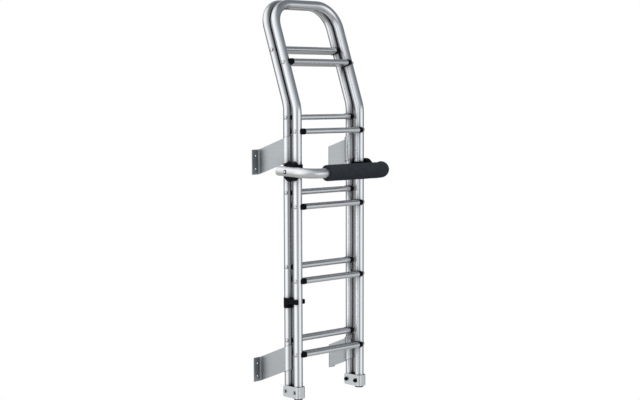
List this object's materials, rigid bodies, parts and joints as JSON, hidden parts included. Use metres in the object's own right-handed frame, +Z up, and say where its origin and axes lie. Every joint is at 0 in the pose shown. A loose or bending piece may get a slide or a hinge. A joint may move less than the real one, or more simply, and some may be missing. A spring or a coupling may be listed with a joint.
{
  "type": "double ladder",
  "caption": "Double van ladder: a fixed section on wall brackets and a second section that folds down about foot hinges, with a padded stand-off bar.",
  "frame": {"origin": "middle of the two screw holes of the lower left bracket, on the flange's face against the wall", "axes": "+Z up along the rails, +Y into the wall that carries the ladder, +X to the right seen by a person facing the ladder"},
  "size_m": [0.465, 0.3478, 1.5045],
  "materials": {
    "rail_aluminium": "satin anodised tube",
    "rung_aluminium": "grooved extrusion",
    "bracket_aluminium": "satin extrusion",
    "hinge_steel": "satin plate",
    "bright_steel": "bright",
    "black_plastic": "moulded, slightly glossy",
    "grey_plastic": "moulded",
    "foam": "matt closed-cell foam"
  },
  "bodies": {
    "fixed_section": {"rear_hoop": "rail_aluminium", "rear_rung_1": "rung_aluminium", "rear_rung_2": "rung_aluminium", "rear_rung_3": "rung_aluminium", "rear_rung_4": "rung_aluminium", "rear_rung_5": "rung_aluminium", "rear_rung_caps": "black_plastic", "rear_rivets": "bright_steel", "rear_end_plugs": "black_plastic", "wall_bracket_lower_left": "bracket_aluminium", "wall_bracket_lower_right": "bracket_aluminium", "wall_bracket_upper_left": "bracket_aluminium", "wall_bracket_upper_right": "bracket_aluminium", "bracket_screws": "bright_steel", "snap_clip": "black_plastic"},
    "folding_section": {"front_hoop": "rail_aluminium", "front_rung_1": "rung_aluminium", "front_rung_2": "rung_aluminium", "front_rung_3": "rung_aluminium", "front_rung_4": "rung_aluminium", "front_rung_5": "rung_aluminium", "front_rung_caps": "black_plastic", "front_rivets": "bright_steel", "front_feet": "black_plastic", "hinge_bracket_left": "hinge_steel", "hinge_bracket_right": "hinge_steel", "hinge_bolts_left": "bright_steel", "hinge_bolts_right": "bright_steel", "cap_nuts": "black_plastic", "bar_clamp_left": "black_plastic", "bar_clamp_right": "black_plastic"},
    "bar": {"padded_bar": "rail_aluminium", "foam_grip": "foam", "bar_disc_left": "black_plastic", "bar_disc_right": "black_plastic", "bar_end_plugs": "grey_plastic", "pivot_bolts": "bright_steel"}
  },
  "joints": [
    {"name": "fold", "type": "hinge", "parent": "fixed_section", "child": "folding_section", "pos_m": [0.2015, -0.145, -0.06542], "axis": [1, 0, 0], "range_deg": [0, 175]},
    {"name": "bar_tilt", "type": "hinge", "parent": "folding_section", "child": "bar", "pos_m": [0.2015, -0.195, 0.77258], "axis": [1, 0, 0], "range_deg": [-45, 45]}
  ]
}
